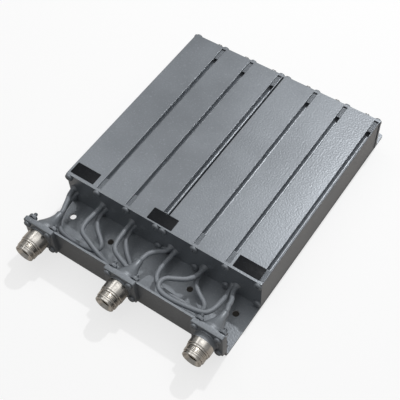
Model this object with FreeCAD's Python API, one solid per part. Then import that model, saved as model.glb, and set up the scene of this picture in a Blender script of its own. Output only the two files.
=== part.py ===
import FreeCAD, Part
import math
import os

# Cavity duplexer: six quarter-wave cavities in two extruded blocks, screwed between a front and a
# rear plate, standing on a folded tray that carries three coaxial ports on its front lip.
# Millimetres. X runs along the front, Y from the ports to the tuning screws, Z up. The origin is
# the centre of the four mounting holes, on the underside of the tray.

# Cavity blocks
cavity_pitch = 26.0
cavities_per_block = 3
block_count = 2
block_edge = 2.5
block_gap = 1.0
block_height = 31.0
block_length = 162.0
skin_thickness = 3.4
web_thickness = 2.5
side_wall = 3.0
block_corner_radius = 0.6

# Screw ports along the blocks
port_inset = 3.2
port_radius = 1.7
slot_width = 3.3
slot_edge_radius = 0.3
port_boss_radius = 2.9

# End plates
plate_thickness = 2.0
rear_plate_overhang = 0.6
plate_corner_radius = 0.8

# Tray
sheet_thickness = 1.5
bend_inner_radius = 1.5
bay_length = 43.5
lip_height = 30.0
rear_shelf = 13.5
tray_corner_radius = 2.0

# Holes in the tray floor
mounting_hole_radius = 2.5
mounting_hole_span = 144.0
front_hole_setback = 13.5
rear_hole_setback = 6.5
inner_hole_radius = 2.4
inner_hole_span = 70.0
inner_hole_setback = 15.5

# Screws that hold the plates
plate_screw_radius = 1.65
plate_screw_reach = 10.0
plate_head_radius = 3.1
plate_head_height = 2.2
plate_head_chamfer = 0.9

# Flat-head screws that hold the blocks to the tray
tray_screw_radius = 1.4
tray_head_radius = 2.8
tray_head_depth = 1.3
tray_screw_past_port = 0.6
tray_screw_margin = 22.0

# Coaxial ports
port_spacing = 71.0
port_height = 19.8
flange_side = 25.4
flange_thickness = 3.5
flange_corner_radius = 1.2
flange_hole_pitch = 18.26
flange_screw_radius = 1.5
collar_radius = 9.3
collar_length = 1.0
neck_radius = 8.6
neck_length = 8.5
step_radius = 8.25
step_length = 1.2
thread_radius = 7.94
thread_length = 4.8
relief_radius = 6.9
relief_length = 0.8
rim_radius = 7.3
rim_length = 1.2
mouth_radius = 4.1
mouth_depth = 9.4
mouth_chamfer = 1.1
spigot_radius = 5.4
spigot_length = 4.5

# Centre contact of a port
contact_radius = 1.55
contact_bore_radius = 0.85
contact_bore_depth = 5.0
contact_recess = 4.6
contact_slot = 0.4
contact_slot_depth = 3.5

# Screws and nuts of the flanges
flange_head_radius = 2.7
flange_head_height = 1.9
flange_head_chamfer = 0.8
flange_nut_flats = 5.5
flange_nut_height = 2.2
flange_screw_tail = 2.6

# Cable hoods behind the flanges
hood_base_radius = 9.3
hood_base_thickness = 1.8
hood_length = 18.0
hood_sleeve_radius = 2.8
hood_sleeve_length = 3.0
hood_wall = 0.9
hood_shoulder_share = 0.9
hood_waist_share = 0.28
hood_waist_place = 0.42

# Coaxial jumpers
jumper_radius = 1.8
jumper_entry = 5.0

# Inside the cavities
rod_radius = 4.5
rod_tip_gap = 16.0
rod_spigot_radius = 2.0
rod_bore_radius = 3.6
rod_bore_depth = 26.0
loop_wire_radius = 0.8
loop_reach = 28.0

# Tuning screws
tuning_screw_radius = 3.0
tuning_screw_tail = 12.5
tuning_screw_depth = 8.0
tuning_screw_chamfer = 1.2
tuning_slot_width = 0.9
tuning_slot_depth = 1.4
lock_nut_flats = 10.0
lock_nut_height = 4.5
lock_nut_chamfer = 0.6

# Clearances
running_clearance = 0.05
screw_clearance = 0.15
hole_clearance = 0.2

# Sizes that follow from the ones above
block_width = cavities_per_block * cavity_pitch + 2 * block_edge
tray_width = block_count * block_width + (block_count - 1) * block_gap
block_bottom = sheet_thickness
block_top = block_bottom + block_height
axis_height = block_bottom + block_height / 2
stack_length = block_length + 2 * plate_thickness
mounting_span_y = front_hole_setback + stack_length + rear_hole_setback
front_y = -mounting_span_y / 2 + front_hole_setback
block_y = front_y + plate_thickness
rear_y = front_y + stack_length
lip_front_y = front_y - bay_length
lip_back_y = lip_front_y + sheet_thickness
tray_rear_y = rear_y + rear_shelf
upper_port_z = block_top - port_inset
lower_port_z = block_bottom + port_inset
block_lefts = [-tray_width / 2 + i * (block_width + block_gap) for i in range(block_count)]
screw_port_xs = [left + block_edge + i * cavity_pitch
                 for left in block_lefts for i in range(cavities_per_block + 1)]
cavity_xs = [left + block_edge + (i + 0.5) * cavity_pitch
             for left in block_lefts for i in range(cavities_per_block)]
connector_xs = [-port_spacing, 0.0, port_spacing]
hood_tip_y = lip_back_y + hood_length

# Where each cavity's two jumpers pass the front plate, sideways and up from the cavity's axis
cavity_entries = [
    [(-11.0, -0.5), (-9.5, -5.0)],
    [(-9.8, 0.0), (-8.5, -4.5)],
    [(-9.2, 0.0), (-8.0, -4.5)],
    [(-7.4, -4.0), (-4.0, -7.0)],
    [(-4.5, -5.0), (-6.5, -8.8)],
    [(-4.0, -4.5), (-7.0, -7.4)],
]

X = FreeCAD.Vector(1, 0, 0)
Y = FreeCAD.Vector(0, 1, 0)
Z = FreeCAD.Vector(0, 0, 1)


def point(x, y, z):
    return FreeCAD.Vector(x, y, z)


def box(x0, x1, y0, y1, z0, z1):
    return Part.makeBox(x1 - x0, y1 - y0, z1 - z0, point(x0, y0, z0))


def rod_y(radius, x, z, y0, y1):
    return Part.makeCylinder(radius, y1 - y0, point(x, y0, z), Y)


def rod_z(radius, x, y, z0, z1):
    return Part.makeCylinder(radius, z1 - z0, point(x, y, z0), Z)


def hexagon_y(flats, x, z, y0, y1):
    corner = flats / math.sqrt(3)
    corners = [point(x + corner * math.cos(math.radians(60 * i)), y0,
                     z + corner * math.sin(math.radians(60 * i))) for i in range(7)]
    return Part.Face(Part.makePolygon(corners)).extrude(Y * (y1 - y0))


def revolved_y(profile, x, z):
    """Turn a closed outline of (radius, y) lines and arcs about an axis along Y."""
    turned = Part.Face(Part.Wire(profile)).revolve(point(0, 0, 0), Y, 360)
    turned.translate(point(x, 0, z))
    return turned


def outline(corners):
    """Straight edges through a closed list of (radius, y) corners."""
    points = [point(r, y, 0) for r, y in corners]
    return [Part.LineSegment(a, b).toShape() for a, b in zip(points, points[1:] + points[:1])]


def edges_along(shape, direction):
    """Straight edges of a shape that run along one direction."""
    found = []
    for edge in shape.Edges:
        if isinstance(edge.Curve, Part.Line) and abs(abs(edge.Curve.Direction.dot(direction)) - 1) < 1e-6:
            found.append(edge)
    return found


def outer_edges_along(shape, direction):
    """Edges along one direction that lie on the corners of the shape's box."""
    limits = shape.BoundBox
    found = []
    for edge in edges_along(shape, direction):
        middle = edge.CenterOfMass
        on_x = min(abs(middle.x - limits.XMin), abs(middle.x - limits.XMax)) < 1e-6
        on_y = min(abs(middle.y - limits.YMin), abs(middle.y - limits.YMax)) < 1e-6
        on_z = min(abs(middle.z - limits.ZMin), abs(middle.z - limits.ZMax)) < 1e-6
        if [on_x, on_y, on_z].count(True) >= 2:
            found.append(edge)
    return found


def extrusion(left):
    """One block: three chambers, open C-shaped screw ports and a thin outer lip."""
    y0 = block_y
    y1 = block_y + block_length
    body = box(left, left + block_width, y0, y1, block_bottom, block_top)
    body = body.makeFillet(block_corner_radius, outer_edges_along(body, Y))
    port_xs = [left + block_edge + i * cavity_pitch for i in range(cavities_per_block + 1)]
    bosses = [rod_y(port_boss_radius, x, z, y0, y1) for x in port_xs for z in (lower_port_z, upper_port_z)]
    for i in range(cavities_per_block):
        chamber_left = left + side_wall if i == 0 else port_xs[i] + web_thickness / 2
        last = i == cavities_per_block - 1
        chamber_right = left + block_width - side_wall if last else port_xs[i + 1] - web_thickness / 2
        chamber = box(chamber_left, chamber_right, y0, y1,
                      block_bottom + skin_thickness, block_top - skin_thickness)
        body = body.cut(chamber.cut(bosses))
    for i, x in enumerate(port_xs):
        for z, outside in ((lower_port_z, block_bottom), (upper_port_z, block_top)):
            body = body.cut(rod_y(port_radius, x, z, y0, y1))
            if i > 0:
                slot = box(x - slot_width / 2, x + slot_width / 2, y0, y1, min(z, outside), max(z, outside))
                body = body.cut(slot)
    return body.makeFillet(slot_edge_radius, slot_mouth_edges(body, port_xs[1:]))


def slot_mouth_edges(block, slot_xs):
    """Edges where the slots of the screw ports open through a block's top and bottom."""
    found = []
    for edge in edges_along(block, Y):
        middle = edge.CenterOfMass
        aside = min(abs(abs(middle.x - x) - slot_width / 2) for x in slot_xs)
        above = min(abs(middle.z - block_bottom), abs(middle.z - block_top))
        if max(aside, above) < 1e-6:
            found.append(edge)
    return found


def front_plate():
    half = tray_width / 2
    plate = box(-half, half, front_y, block_y, block_bottom, block_top)
    plate = plate.makeFillet(plate_corner_radius, outer_edges_along(plate, Y))
    holes = []
    for x in screw_port_xs:
        for z in (lower_port_z, upper_port_z):
            holes.append(rod_y(plate_screw_radius + hole_clearance, x, z, front_y, block_y))
    for x, entries in zip(cavity_xs, cavity_entries):
        holes.append(rod_y(rod_spigot_radius, x, axis_height, front_y, block_y))
        for aside, up in entries:
            holes.append(rod_y(jumper_radius + screw_clearance, x + aside, axis_height + up,
                               front_y, block_y))
    return plate.cut(holes)


def rear_plate():
    half = tray_width / 2 + rear_plate_overhang
    plate = box(-half, half, rear_y - plate_thickness, rear_y, block_bottom, block_top)
    plate = plate.makeFillet(plate_corner_radius, outer_edges_along(plate, Y))
    holes = []
    for x in screw_port_xs:
        for z in (lower_port_z, upper_port_z):
            holes.append(rod_y(plate_screw_radius + hole_clearance, x, z, rear_y - plate_thickness, rear_y))
    for x in cavity_xs:
        holes.append(rod_y(tuning_screw_radius + running_clearance, x, axis_height,
                           rear_y - plate_thickness, rear_y))
    return plate.cut(holes)


def pan_head_screw(x, z, face_y, outward, reach, radius, head_radius, head_height, head_chamfer):
    """Pan-head screw along Y: its head stands on face_y and its shank runs the other way."""
    tip_y = face_y - outward * reach
    top_y = face_y + outward * head_height
    corners = [(0, tip_y), (radius, tip_y), (radius, face_y), (head_radius, face_y),
               (head_radius, top_y - outward * head_chamfer), (head_radius - head_chamfer, top_y), (0, top_y)]
    return revolved_y(outline(corners), x, z)


def plate_screws(face_y, outward):
    screws = []
    for x in screw_port_xs:
        for z in (lower_port_z, upper_port_z):
            screws.append(pan_head_screw(x, z, face_y, outward, plate_thickness + plate_screw_reach,
                                         plate_screw_radius, plate_head_radius, plate_head_height,
                                         plate_head_chamfer))
    return Part.makeCompound(screws)


def tray_screw_places():
    """Flat-head screws stand under the ports that open downwards, near both ends of the blocks."""
    places = []
    for left in block_lefts:
        for i in range(1, cavities_per_block):
            x = left + block_edge + i * cavity_pitch
            for y in (block_y + tray_screw_margin, block_y + block_length - tray_screw_margin):
                places.append((x, y))
    return places


def tray_screw(x, y):
    """Flat-head screw that ends just past the middle of the port it cuts its thread in."""
    tip = lower_port_z + tray_screw_past_port
    corners = [(0, 0), (tray_head_radius, 0), (tray_screw_radius, tray_head_depth),
               (tray_screw_radius, tip), (0, tip)]
    points = [point(r, 0, z) for r, z in corners]
    screw = Part.Face(Part.makePolygon(points + points[:1])).revolve(point(0, 0, 0), Z, 360)
    screw.translate(point(x, y, 0))
    return screw


def countersink(x, y):
    wide = tray_head_radius + running_clearance
    narrow = tray_screw_radius + running_clearance
    cone = Part.makeCone(wide, narrow, tray_head_depth, point(x, y, 0), Z)
    return cone.fuse(rod_z(narrow, x, y, 0, sheet_thickness))


def tray():
    """Folded sheet: floor, bend and front lip, cut for the ports, the screws and the mounting."""
    outer = bend_inner_radius + sheet_thickness
    middle = math.sqrt(0.5)
    bend_y = lip_front_y + outer
    corners = [point(0, tray_rear_y, 0), point(0, tray_rear_y, sheet_thickness),
               point(0, bend_y, sheet_thickness), point(0, lip_back_y, outer),
               point(0, lip_back_y, lip_height), point(0, lip_front_y, lip_height),
               point(0, lip_front_y, outer), point(0, bend_y, 0)]
    inside = Part.Arc(corners[2], point(0, bend_y - bend_inner_radius * middle,
                                        outer - bend_inner_radius * middle), corners[3])
    outside = Part.Arc(corners[6], point(0, bend_y - outer * middle, outer - outer * middle), corners[7])
    edges = [Part.LineSegment(corners[0], corners[1]).toShape(),
             Part.LineSegment(corners[1], corners[2]).toShape(), inside.toShape(),
             Part.LineSegment(corners[3], corners[4]).toShape(),
             Part.LineSegment(corners[4], corners[5]).toShape(),
             Part.LineSegment(corners[5], corners[6]).toShape(), outside.toShape(),
             Part.LineSegment(corners[7], corners[0]).toShape()]
    half = tray_width / 2
    sheet = Part.Face(Part.Wire(edges)).extrude(X * tray_width)
    sheet.translate(point(-half, 0, 0))
    rear_corners = [edge for edge in edges_along(sheet, Z) if abs(edge.CenterOfMass.y - tray_rear_y) < 1e-6]
    sheet = sheet.makeFillet(tray_corner_radius, rear_corners)
    cuts = []
    for side in (-1, 1):
        for y in (front_y - front_hole_setback, rear_y + rear_hole_setback):
            cuts.append(rod_z(mounting_hole_radius, side * mounting_hole_span / 2, y, 0, sheet_thickness))
        cuts.append(rod_z(inner_hole_radius, side * inner_hole_span / 2, front_y - inner_hole_setback,
                          0, sheet_thickness))
    for x, y in tray_screw_places():
        cuts.append(countersink(x, y))
    for x in connector_xs:
        cuts.append(rod_y(spigot_radius + screw_clearance, x, port_height, lip_front_y, lip_back_y))
        for dx, dz in flange_hole_offsets():
            cuts.append(rod_y(flange_screw_radius + hole_clearance, x + dx, port_height + dz,
                              lip_front_y, lip_back_y))
    return sheet.cut(cuts)


def flange_hole_offsets():
    half = flange_hole_pitch / 2
    return [(dx, dz) for dx in (-half, half) for dz in (-half, half)]


def barrel_steps():
    """Radius and length of each step of a jack's barrel, from its flange to its mouth."""
    return [(collar_radius, collar_length), (neck_radius, neck_length), (step_radius, step_length),
            (thread_radius, thread_length), (relief_radius, relief_length), (rim_radius, rim_length)]


def connector_front_y():
    return lip_front_y - flange_thickness - sum(length for radius, length in barrel_steps())


def connector_shell(x):
    """Panel jack: square flange, painted collar, neck, step, thread, relief and rim, open at the mouth."""
    flange_y = lip_front_y - flange_thickness
    half = flange_side / 2
    flange = box(x - half, x + half, flange_y, lip_front_y, port_height - half, port_height + half)
    flange = flange.makeFillet(flange_corner_radius, outer_edges_along(flange, Y))
    holes = [rod_y(flange_screw_radius + hole_clearance, x + dx, port_height + dz, flange_y, lip_front_y)
             for dx, dz in flange_hole_offsets()]
    flange = flange.cut(holes)
    corners = [(0, flange_y)]
    y = flange_y
    for radius, length in barrel_steps():
        corners += [(radius, y), (radius, y - length)]
        y -= length
    corners.append((0, y))
    barrel = revolved_y(outline(corners), x, port_height)
    mouth_floor = y + mouth_depth
    mouth = revolved_y(outline([(0, mouth_floor), (mouth_radius, mouth_floor), (mouth_radius, y + mouth_chamfer),
                                (mouth_radius + mouth_chamfer, y), (0, y)]), x, port_height)
    spigot = rod_y(spigot_radius, x, port_height, lip_front_y, lip_front_y + spigot_length)
    bore = rod_y(insulator_radius(), x, port_height, mouth_floor, lip_front_y + spigot_length)
    return barrel.fuse([flange, spigot]).removeSplitter().cut([mouth, bore])


def insulator_radius():
    return mouth_radius - running_clearance


def connector_insulator(x):
    y0 = connector_front_y() + mouth_depth
    y1 = lip_front_y + spigot_length
    body = rod_y(insulator_radius() - running_clearance, x, port_height, y0, y1)
    return body.cut(rod_y(contact_radius + running_clearance, x, port_height, y0, y1))


def connector_contact(x):
    """Centre contact with a slotted socket, long enough to meet the jumper inside the hood."""
    y0 = connector_front_y() + contact_recess
    y1 = hood_tip_y - jumper_entry
    contact = rod_y(contact_radius, x, port_height, y0, y1)
    contact = contact.cut(rod_y(contact_bore_radius, x, port_height, y0, y0 + contact_bore_depth))
    half = contact_slot / 2
    reach = 2 * contact_radius
    upright = box(x - half, x + half, y0, y0 + contact_slot_depth, port_height - reach, port_height + reach)
    level = box(x - reach, x + reach, y0, y0 + contact_slot_depth, port_height - half, port_height + half)
    return contact.cut([upright, level])


def hood_flare(wall):
    """Three (radius, y) points of a hood's flare, from its base ring to its sleeve, one wall inside it."""
    ring_y = lip_back_y + hood_base_thickness - wall
    flare_y = hood_tip_y - hood_sleeve_length
    shoulder = hood_shoulder_share * (hood_base_radius - wall)
    sleeve = hood_sleeve_radius - wall
    middle = (sleeve + hood_waist_share * (shoulder - sleeve), ring_y + hood_waist_place * (flare_y - ring_y))
    return [(shoulder, ring_y), middle, (sleeve, flare_y)]


def cable_hood(x, side_entry=None):
    """Turned hood: a flat base ring, a hollow curved flare and a sleeve for the jumper."""
    (shoulder, ring_y), middle, (sleeve, flare_y) = hood_flare(0.0)
    flare = Part.Arc(point(shoulder, ring_y, 0), point(*middle, 0), point(sleeve, flare_y, 0)).toShape()
    corners = [(sleeve, flare_y), (sleeve, hood_tip_y), (0, hood_tip_y), (0, lip_back_y),
               (hood_base_radius, lip_back_y), (hood_base_radius, ring_y), (shoulder, ring_y)]
    points = [point(r, y, 0) for r, y in corners]
    lines = [Part.LineSegment(a, b).toShape() for a, b in zip(points, points[1:])]
    hood = revolved_y([flare] + lines, x, port_height)
    inside = hood_flare(hood_wall)
    inside = [(0, lip_back_y), (inside[0][0], lip_back_y)] + inside + [(0, inside[-1][1])]
    hood = hood.cut(revolved_y(outline(inside), x, port_height))
    hood = hood.cut(rod_y(jumper_radius + screw_clearance, x, port_height, lip_back_y, hood_tip_y))
    if side_entry:
        start, end = side_entry
        hood = hood.cut(Part.makeCylinder(jumper_radius + screw_clearance, (end - start).Length,
                                          start, end - start))
    return hood


def flange_screws():
    """Pan heads on the flanges' front, through flange, lip, hood ring and nut."""
    screws = []
    for x in connector_xs:
        for dx, dz in flange_hole_offsets():
            reach = flange_thickness + sheet_thickness + flange_nut_height + flange_screw_tail
            screws.append(pan_head_screw(x + dx, port_height + dz, lip_front_y - flange_thickness, -1, reach,
                                         flange_screw_radius, flange_head_radius, flange_head_height,
                                         flange_head_chamfer))
    return Part.makeCompound(screws)


def flange_nuts():
    nuts = []
    for x in connector_xs:
        for dx, dz in flange_hole_offsets():
            y1 = lip_back_y + flange_nut_height
            nut = hexagon_y(flange_nut_flats, x + dx, port_height + dz, lip_back_y, y1)
            bore = rod_y(flange_screw_radius + running_clearance, x + dx, port_height + dz, lip_back_y, y1)
            nuts.append(nut.cut(bore))
    return Part.makeCompound(nuts)


def resonator_rod(x):
    """Quarter-wave centre conductor: seated on the front plate, hollow at its open end."""
    tip_y = block_y + block_length - rod_tip_gap
    rod = rod_y(rod_radius, x, axis_height, block_y, tip_y)
    spigot = rod_y(rod_spigot_radius - running_clearance, x, axis_height, front_y, block_y)
    bore = rod_y(rod_bore_radius, x, axis_height, tip_y - rod_bore_depth, tip_y)
    return rod.fuse(spigot).cut(bore)


def coupling_loop(x, entries):
    """Hairpin of wire between the ends of a cavity's two jumpers."""
    start, end = [point(x + aside, block_y, axis_height + up) for aside, up in entries]
    leg = loop_reach - (end - start).Length / 2
    across = (start - end) * 0.5
    section = Part.Face(Part.Wire(Part.makeCircle(loop_wire_radius, start + Y * leg, Y)))
    bend = section.revolve((start + end) * 0.5 + Y * leg, across.cross(Y), 180)
    return bend.fuse([Part.makeCylinder(loop_wire_radius, leg, foot, Y) for foot in (start, end)])


def tuning_screw(x):
    """Chamfered screw with a driver slot; its tip enters the hollow end of the rod."""
    tip_y = block_y + block_length - rod_tip_gap - tuning_screw_depth
    end_y = rear_y + tuning_screw_tail
    corners = [(0, tip_y), (tuning_screw_radius, tip_y), (tuning_screw_radius, end_y - tuning_screw_chamfer),
               (tuning_screw_radius - tuning_screw_chamfer, end_y), (0, end_y)]
    screw = revolved_y(outline(corners), x, axis_height)
    half = tuning_slot_width / 2
    slot = box(x - half, x + half, end_y - tuning_slot_depth, end_y,
               axis_height - tuning_screw_radius, axis_height + tuning_screw_radius)
    return screw.cut(slot)


def lock_nut(x):
    y1 = rear_y + lock_nut_height
    nut = hexagon_y(lock_nut_flats, x, axis_height, rear_y, y1)
    corner = lock_nut_flats / math.sqrt(3)
    bevel = revolved_y(outline([(0, rear_y), (corner, rear_y), (corner, y1 - lock_nut_chamfer),
                                (lock_nut_flats / 2, y1), (0, y1)]), x, axis_height)
    return nut.common(bevel).cut(rod_y(tuning_screw_radius + running_clearance, x, axis_height, rear_y, y1))


def swept(edges, start, direction, radius):
    """Round tube of one radius along a path of tangent edges."""
    section = Part.Wire(Part.makeCircle(radius, start, direction))
    return Part.Wire(edges).makePipeShell([section], True, False)


def tube(name, points, radius):
    """Straight runs joined by tangent arcs, each as large as its two runs allow."""
    edges = []
    radii = []
    last = points[0]
    for before, here, after in zip(points, points[1:], points[2:]):
        back = before - here
        ahead = after - here
        turn = math.pi - back.getAngle(ahead)
        setback = 0.45 * min(back.Length, ahead.Length)
        radii.append(setback / math.tan(turn / 2))
        enter = here + back * (setback / back.Length)
        leave = here + ahead * (setback / ahead.Length)
        inward = (enter + leave) * 0.5 - here
        depth = radii[-1] / math.cos(turn / 2) - radii[-1]
        crown = here + inward * (depth / inward.Length)
        edges.append(Part.LineSegment(last, enter).toShape())
        edges.append(Part.Arc(enter, crown, leave).toShape())
        last = leave
    edges.append(Part.LineSegment(last, points[-1]).toShape())
    solid = swept(edges, points[0], points[1] - points[0], radius)
    length = sum(edge.Length for edge in edges)
    ratio = solid.Volume / (math.pi * radius * radius * length)
    print(name, "length %.1f" % length, "radii", ["%.1f" % r for r in radii], "volume ratio %.4f" % ratio)
    return solid


def plate_end(cavity, entry):
    """Inner end of a jumper, level with the back of the front plate."""
    aside, up = cavity_entries[cavity][entry]
    return point(cavity_xs[cavity] + aside, block_y, axis_height + up)


def jumper_routes():
    """Each jumper's points from end to end; y is counted from the front plate's face."""
    def free(x, y, z):
        return point(x, front_y + y, z)

    def hood_end(x):
        return [point(x, hood_tip_y - jumper_entry, port_height), point(x, hood_tip_y + 2.5, port_height)]

    def stub(cavity, entry, length):
        inner = plate_end(cavity, entry)
        return [inner, inner - Y * (plate_thickness + length)]

    left, middle, right = connector_xs
    return {
        "jumper_left_port_to_cavity_1": (
            hood_end(left) + [free(-73.2, -17.0, 19.2), free(-75.6, -11.0, 18.0)] + stub(0, 0, 5.0)[::-1]),
        "jumper_cavity_1_to_2": (
            stub(0, 1, 5.5) + [
                free(-77.2, -12.5, 11.0), free(-76.6, -20.0, 8.6), free(-74.2, -27.0, 6.8),
                free(-67.0, -31.2, 6.0), free(-56.0, -31.6, 6.2), free(-46.0, -31.4, 6.8),
                free(-38.6, -31.0, 7.8), free(-33.2, -29.2, 9.4), free(-31.6, -25.0, 11.2),
                free(-34.8, -21.2, 12.4), free(-41.6, -16.8, 13.0), free(-48.0, -11.0, 12.7)]
            + stub(1, 1, 4.5)[::-1]),
        "jumper_cavity_2_to_3": (
            stub(1, 0, 4.5) + [
                free(-51.6, -12.5, 18.2), free(-50.2, -21.5, 19.0), free(-45.6, -29.2, 19.8),
                free(-36.5, -34.0, 19.6), free(-27.5, -35.8, 17.6), free(-19.5, -35.8, 12.8),
                free(-12.4, -35.0, 8.0), free(-6.8, -33.6, 5.8), free(-4.0, -30.4, 5.2),
                free(-4.8, -26.6, 6.4), free(-9.6, -23.4, 9.2), free(-14.6, -19.6, 11.6),
                free(-19.4, -14.6, 12.8), free(-22.8, -9.0, 12.8)] + stub(2, 1, 3.5)[::-1]),
        "jumper_cavity_3_to_middle_port": (
            stub(2, 0, 4.5) + [
                free(-24.4, -12.0, 18.2), free(-22.6, -20.0, 18.9), free(-18.8, -26.4, 19.2),
                free(-13.2, -30.2, 19.2), free(-4.4, -32.8, 19.2)]),
        "jumper_middle_port_to_cavity_4": (
            hood_end(middle) + [free(0.6, -15.6, 18.2), free(3.0, -10.2, 15.8)] + stub(3, 0, 4.5)[::-1]),
        "jumper_cavity_4_to_5": (
            stub(3, 1, 5.0) + [
                free(11.8, -12.5, 10.9), free(11.9, -20.0, 11.2), free(14.2, -26.4, 10.6),
                free(20.4, -29.4, 9.4), free(29.0, -29.8, 8.4), free(37.5, -29.0, 7.8),
                free(45.2, -28.9, 7.8), free(50.8, -28.5, 8.2), free(54.5, -26.0, 9.0),
                free(54.5, -22.0, 10.0), free(50.4, -19.2, 10.8), free(44.4, -16.6, 10.9),
                free(38.8, -12.0, 9.8)] + stub(4, 1, 4.5)[::-1]),
        "jumper_cavity_5_to_6": (
            stub(4, 0, 4.5) + [
                free(37.0, -11.0, 14.6), free(33.6, -17.2, 17.2), free(27.6, -21.6, 18.8),
                free(22.6, -26.0, 19.6), free(22.4, -31.6, 20.0), free(27.6, -35.0, 20.0),
                free(35.4, -36.0, 20.0), free(44.6, -35.4, 20.0), free(53.4, -33.8, 20.0),
                free(60.0, -30.4, 19.8), free(62.6, -23.6, 18.8), free(62.6, -16.0, 16.2),
                free(61.6, -9.2, 12.0)] + stub(5, 1, 3.5)[::-1]),
        "jumper_cavity_6_to_right_port": (
            stub(5, 0, 4.0) + [free(66.0, -10.4, 15.2), free(69.0, -15.8, 18.4)] + hood_end(right)[::-1]),
    }


def main():
    os.makedirs("parts", exist_ok=True)
    nodes = {
        "tray": tray(),
        "front_plate": front_plate(),
        "rear_plate": rear_plate(),
        "front_plate_screws": plate_screws(front_y, -1),
        "rear_plate_screws": plate_screws(rear_y, 1),
        "tray_screws": Part.makeCompound([tray_screw(x, y) for x, y in tray_screw_places()]),
        "flange_screws": flange_screws(),
        "flange_nuts": flange_nuts(),
    }
    for side, left in zip(("left", "right"), block_lefts):
        nodes["cavity_block_" + side] = extrusion(left)
    routes = jumper_routes()
    side_entry = routes["jumper_cavity_3_to_middle_port"][-2:]
    for side, x in zip(("left", "middle", "right"), connector_xs):
        nodes["connector_shell_" + side] = connector_shell(x)
        nodes["connector_insulator_" + side] = connector_insulator(x)
        nodes["connector_contact_" + side] = connector_contact(x)
        nodes["cable_hood_" + side] = cable_hood(x, side_entry if side == "middle" else None)
    for number, (x, entries) in enumerate(zip(cavity_xs, cavity_entries), 1):
        nodes["resonator_rod_%d" % number] = resonator_rod(x)
        nodes["coupling_loop_%d" % number] = coupling_loop(x, entries)
        nodes["tuning_screw_%d" % number] = tuning_screw(x)
        nodes["lock_nut_%d" % number] = lock_nut(x)
    for name, points in routes.items():
        nodes[name] = tube(name, points, jumper_radius)
    for name, shape in nodes.items():
        shape.exportStep("parts/%s.step" % name)


main()
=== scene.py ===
"""Cavity duplexer: finishes, jacks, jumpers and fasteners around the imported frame, in metres."""
import math
import bmesh
import bpy
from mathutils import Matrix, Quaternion, Vector


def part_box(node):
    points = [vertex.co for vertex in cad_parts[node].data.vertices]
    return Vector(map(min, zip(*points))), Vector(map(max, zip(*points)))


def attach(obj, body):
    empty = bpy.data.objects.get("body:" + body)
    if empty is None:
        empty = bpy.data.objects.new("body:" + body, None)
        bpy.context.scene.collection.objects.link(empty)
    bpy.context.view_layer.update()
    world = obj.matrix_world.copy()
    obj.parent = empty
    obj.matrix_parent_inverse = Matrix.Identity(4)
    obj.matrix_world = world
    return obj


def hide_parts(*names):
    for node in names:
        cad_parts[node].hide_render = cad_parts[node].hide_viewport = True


bl_info = {
    "name": "Cavity Duplexer",
    "version": (1, 0, 0),
    "blender": (4, 5, 0),
    "location": "View3D > Sidebar > Duplexer",
    "description": "Dresses a six-cavity duplexer: paint, jacks, jumpers, tuning screws and fasteners",
    "category": "Object",
}

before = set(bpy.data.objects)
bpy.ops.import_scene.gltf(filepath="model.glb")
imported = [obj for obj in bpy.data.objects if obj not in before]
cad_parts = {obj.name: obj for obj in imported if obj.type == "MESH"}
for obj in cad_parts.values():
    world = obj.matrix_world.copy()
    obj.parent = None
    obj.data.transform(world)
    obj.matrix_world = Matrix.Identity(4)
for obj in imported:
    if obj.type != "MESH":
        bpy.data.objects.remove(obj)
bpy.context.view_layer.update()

MM = 0.001
SIDES = ("left", "middle", "right")
CAVITIES = range(1, 7)

# Places that the frame gives
PLATE_FACE_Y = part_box("front_plate")[0].y
PLATE_BACK_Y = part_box("front_plate")[1].y
REAR_FACE_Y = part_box("rear_plate")[1].y
BLOCK_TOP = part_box("cavity_block_left")[1].z
FLANGE_BACK_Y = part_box("tray")[0].y
JACK_FRONT_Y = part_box("connector_shell_middle")[0].y
HOOD_BASE_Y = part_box("cable_hood_middle")[0].y
HOOD_TIP_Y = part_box("cable_hood_middle")[1].y


def middle_of(node):
    low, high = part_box(node)
    return (low + high) / 2


PORT_XS = {side: middle_of("connector_contact_" + side).x for side in SIDES}
PORT_Z = middle_of("connector_contact_middle").z
ROD_XS = [middle_of("resonator_rod_%d" % number).x for number in CAVITIES]
AXIS_Z = middle_of("resonator_rod_1").z


def length(name, default_mm, description):
    """A size in metres, with its default written in millimetres."""
    return bpy.props.FloatProperty(name=name, description=description, default=default_mm * MM,
                                   min=0.0, unit="LENGTH", subtype="DISTANCE", precision=5)


def angle(name, default_degrees, description):
    """An angle, with its default written in degrees."""
    return bpy.props.FloatProperty(name=name, description=description, subtype="ANGLE", unit="ROTATION",
                                   default=math.radians(default_degrees))


def number(name, default, description):
    return bpy.props.FloatProperty(name=name, description=description, default=default)


def vector(name, default, description, subtype):
    return bpy.props.FloatVectorProperty(name=name, description=description, default=default,
                                         size=len(default), subtype=subtype)


def share(name, default, description):
    return bpy.props.FloatProperty(name=name, description=description, default=default,
                                   min=0.0, max=1.0, subtype="FACTOR")


def colour(name, default, description):
    return bpy.props.FloatVectorProperty(name=name, description=description, default=default, size=3,
                                         min=0.0, max=1.0, subtype="COLOR")


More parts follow.
